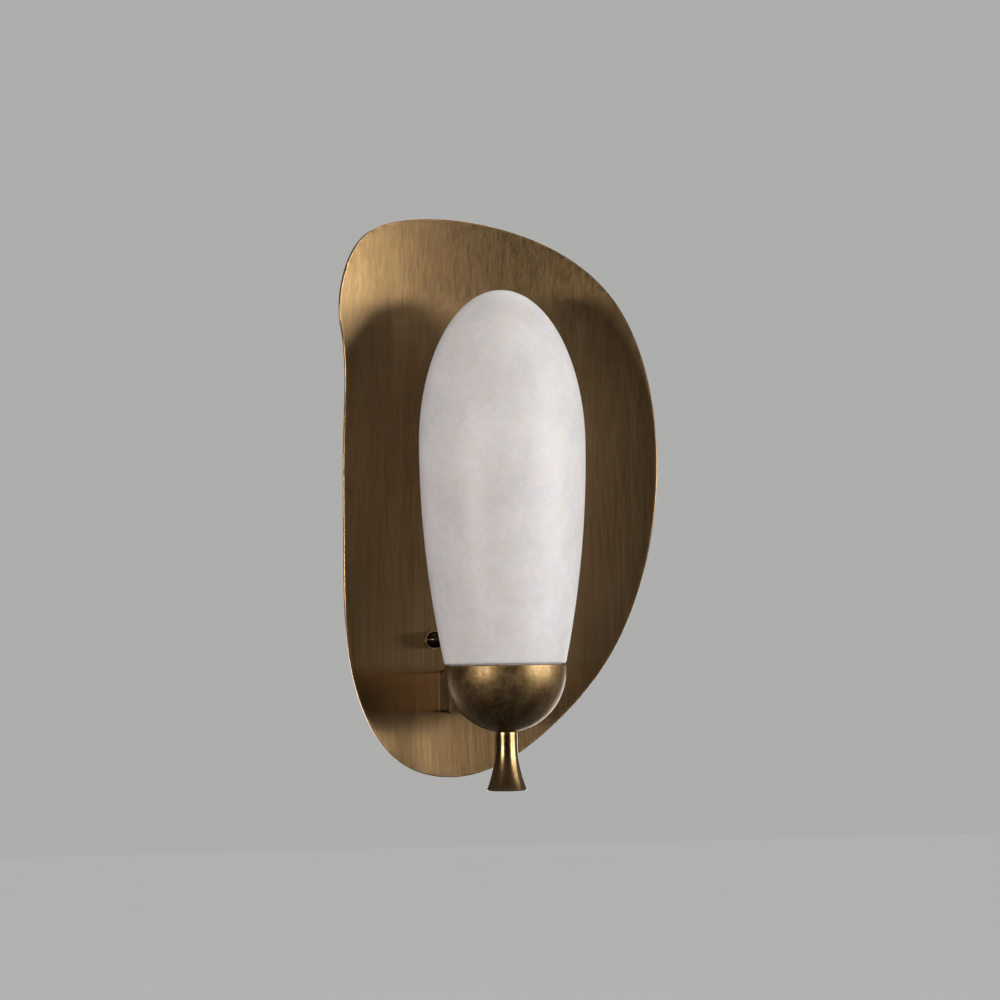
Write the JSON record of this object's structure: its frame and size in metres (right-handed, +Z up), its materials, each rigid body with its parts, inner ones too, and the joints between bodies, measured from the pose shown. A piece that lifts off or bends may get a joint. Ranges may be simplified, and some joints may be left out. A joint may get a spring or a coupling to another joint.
{
  "type": "wall sconce",
  "caption": "Wall sconce: a dished brass back shell with a free bean-like outline, a short box arm, a round cup with a flared finial below, and a tall hollow egg-shaped alabaster shade.",
  "frame": {"origin": "middle of the wall plate's back face, on the wall", "axes": "+Z up, -Y out from the wall into the room, +X to the right seen from the room"},
  "size_m": [0.2062, 0.1466, 0.364],
  "materials": {
    "aged_brass": "vertically brushed, aged bronze-brass",
    "plain_brass": "turned, plain",
    "zinc_steel": "zinc plated",
    "alabaster": "honed, softly mottled alabaster",
    "silicone": "matt, translucent white",
    "white_ceramic": "unglazed steatite",
    "lamp_plastic": "moulded",
    "lamp_glass": "frosted glass",
    "lamp_board": "lacquered board",
    "nickel_wire": "bright nickel",
    "white_nylon": "moulded nylon",
    "brown_lead": "smooth insulation",
    "blue_lead": "smooth insulation",
    "green_lead": "smooth insulation"
  },
  "bodies": {
    "fixture": {"shell": "aged_brass", "cap_washers": "aged_brass", "cap_nuts": "aged_brass", "arm_tube": "aged_brass", "arm_saddle": "aged_brass", "cup": "aged_brass", "threaded_tube": "plain_brass", "tube_nuts": "plain_brass", "gallery_plate": "plain_brass", "holder_cap": "plain_brass", "terminal_tubes": "plain_brass", "holder_contacts": "plain_brass", "collar": "plain_brass", "wall_plate": "zinc_steel", "fixing_studs": "zinc_steel", "stud_nuts": "zinc_steel", "backing_plate": "zinc_steel", "arm_rear_plate": "zinc_steel", "arm_screws": "zinc_steel", "cup_screws": "zinc_steel", "tube_washers": "zinc_steel", "holder_screws": "zinc_steel", "terminal_screws": "zinc_steel", "terminal_fixings": "zinc_steel", "earth_tag": "zinc_steel", "earth_screw": "zinc_steel", "seat_ring": "silicone", "lead_bush": "silicone", "cup_bush": "silicone", "holder_body": "white_ceramic", "terminal_block": "white_nylon", "live_lead": "brown_lead", "neutral_lead": "blue_lead", "earth_lead": "green_lead"},
    "shade": {"shade": "alabaster"},
    "lamp": {"lamp_base": "lamp_plastic", "lamp_pins": "nickel_wire", "lamp_board": "lamp_board", "lamp_bulb": "lamp_glass"},
    "finial_washer": {"finial_washer": "silicone"},
    "finial": {"finial": "aged_brass"}
  },
  "joints": [
    {"name": "shade_lift", "type": "slide", "parent": "fixture", "child": "shade", "axis": [0, 0, 1], "range_m": [0, 0.13]},
    {"name": "lamp_pull", "type": "slide", "parent": "fixture", "child": "lamp", "axis": [0, 0, 1], "range_m": [0, 0.015]},
    {"name": "finial_drop", "type": "slide", "parent": "fixture", "child": "finial_washer", "axis": [0, 0, -1], "range_m": [0, 0.009]},
    {"name": "finial_turn", "type": "hinge", "parent": "finial_washer", "child": "finial", "pos_m": [0, -0.095, -0.0583], "axis": [0, 0, -1], "range_deg": [0, 3240]}
  ],
  "couplings": [
    {"joint": "finial_turn", "follows": "finial_drop", "rad_per_m": 6283.2}
  ]
}
